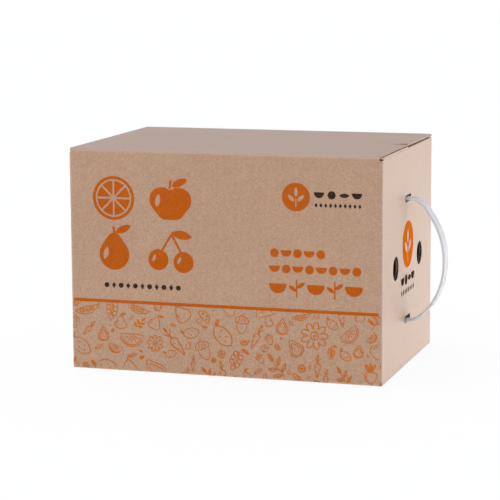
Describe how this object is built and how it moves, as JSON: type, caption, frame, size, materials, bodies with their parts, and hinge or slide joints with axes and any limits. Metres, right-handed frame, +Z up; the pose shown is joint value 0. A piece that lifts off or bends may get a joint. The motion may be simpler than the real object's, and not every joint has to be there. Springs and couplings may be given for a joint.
{
  "type": "corrugated carry carton",
  "caption": "Closed corrugated fruit carton with hinged long lid flaps, glued base, air holes, printed fruit pictures and a white plastic carrying strap bowed out of its end.",
  "frame": {"origin": "centre of the carton's underside, midway between its walls", "axes": "+X towards the end panel with the strap, -Y towards the printed front, +Z up"},
  "size_m": [0.387, 0.2402, 0.24],
  "materials": {
    "kraft_board": "matt, uncoated kraft liner",
    "orange_ink": "flat printed ink",
    "black_ink": "flat printed ink",
    "white_strap": "milky translucent, satin"
  },
  "bodies": {
    "carton_body": {"carton": "kraft_board", "front_print_orange": "orange_ink", "front_print_black": "black_ink", "rear_print_orange": "orange_ink", "rear_print_black": "black_ink", "end_print_orange": "orange_ink", "end_print_black": "black_ink"},
    "front_flap": {"front_top_flap": "kraft_board"},
    "rear_flap": {"rear_top_flap": "kraft_board"},
    "strap": {"handle_strap": "white_strap"}
  },
  "joints": [
    {"name": "front_flap_fold", "type": "hinge", "parent": "carton_body", "child": "front_flap", "pos_m": [0, -0.1185, 0.2385], "axis": [1, 0, 0], "range_deg": [0, 175]},
    {"name": "rear_flap_fold", "type": "hinge", "parent": "carton_body", "child": "rear_flap", "pos_m": [0, 0.1185, 0.2385], "axis": [-1, 0, 0], "range_deg": [0, 175]},
    {"name": "strap_swing", "type": "hinge", "parent": "carton_body", "child": "strap", "pos_m": [0.1705, 0, 0.1163], "axis": [0, 0, 1], "range_deg": [-25, 25]}
  ]
}
